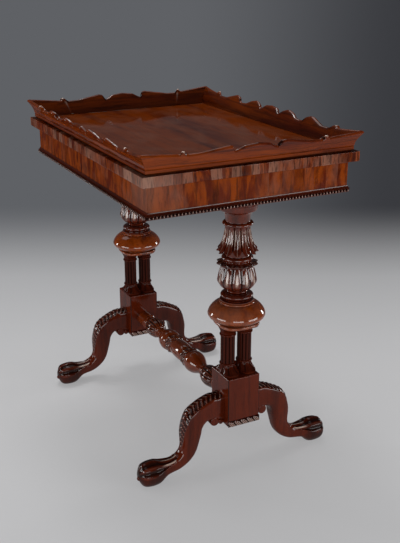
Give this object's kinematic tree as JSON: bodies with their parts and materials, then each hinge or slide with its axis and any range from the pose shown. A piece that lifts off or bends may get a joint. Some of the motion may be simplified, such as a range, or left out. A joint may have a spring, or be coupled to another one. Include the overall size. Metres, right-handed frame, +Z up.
{
  "type": "work table",
  "caption": "Tray-top work table with a scroll-cut gallery, a frieze drawer, carved baluster supports on cabriole legs and a turned stretcher.",
  "frame": {"origin": "on the floor, under the middle of the top", "axes": "+Z up; X along the long side, from one support to the other; +Y out of the back, the way the drawer opens"},
  "size_m": [0.693, 0.497, 0.7476],
  "materials": {
    "rosewood_veneer": "polished rosewood veneer",
    "rosewood_crossband": "polished crossbanded rosewood",
    "rosewood_solid": "polished solid rosewood",
    "rosewood_carved": "carved and polished rosewood",
    "mahogany_lining": "planed mahogany, waxed"
  },
  "bodies": {
    "table": {"frieze_front": "rosewood_veneer", "frieze_right": "rosewood_veneer", "frieze_left": "rosewood_veneer", "frieze_stile_right": "rosewood_veneer", "frieze_stile_left": "rosewood_veneer", "top_board": "rosewood_crossband", "gallery_front": "rosewood_solid", "gallery_back": "rosewood_solid", "gallery_right": "rosewood_solid", "gallery_left": "rosewood_solid", "drawer_rail": "rosewood_solid", "bun_right": "rosewood_solid", "bun_left": "rosewood_solid", "column_cap_right": "rosewood_solid", "column_cap_left": "rosewood_solid", "base_block_right": "rosewood_solid", "base_block_left": "rosewood_solid", "bead_moulding_front": "rosewood_carved", "bead_moulding_back": "rosewood_carved", "bead_moulding_right": "rosewood_carved", "bead_moulding_left": "rosewood_carved", "lotus_baluster_right": "rosewood_carved", "lotus_baluster_left": "rosewood_carved", "column_right_front": "rosewood_carved", "column_right_back": "rosewood_carved", "column_left_front": "rosewood_carved", "column_left_back": "rosewood_carved", "leaf_strip_right_outer": "rosewood_carved", "leaf_strip_right_inner": "rosewood_carved", "leaf_strip_left_outer": "rosewood_carved", "leaf_strip_left_inner": "rosewood_carved", "leg_right_front": "rosewood_carved", "leg_right_back": "rosewood_carved", "leg_left_front": "rosewood_carved", "leg_left_back": "rosewood_carved", "stretcher": "rosewood_carved", "cross_bearer_right": "mahogany_lining", "cross_bearer_left": "mahogany_lining", "drawer_runner_right": "mahogany_lining", "drawer_runner_left": "mahogany_lining", "drawer_kicker_right": "mahogany_lining", "drawer_kicker_left": "mahogany_lining", "drawer_stop_right": "mahogany_lining", "drawer_stop_left": "mahogany_lining"},
    "drawer": {"drawer_front": "rosewood_veneer", "drawer_side_right": "mahogany_lining", "drawer_side_left": "mahogany_lining", "drawer_back": "mahogany_lining", "drawer_bottom": "mahogany_lining", "drawer_knob_right": "rosewood_solid", "drawer_knob_left": "rosewood_solid"}
  },
  "joints": [
    {"name": "drawer_slide", "type": "slide", "parent": "table", "child": "drawer", "axis": [0, 1, 0], "range_m": [0, 0.26]}
  ]
}
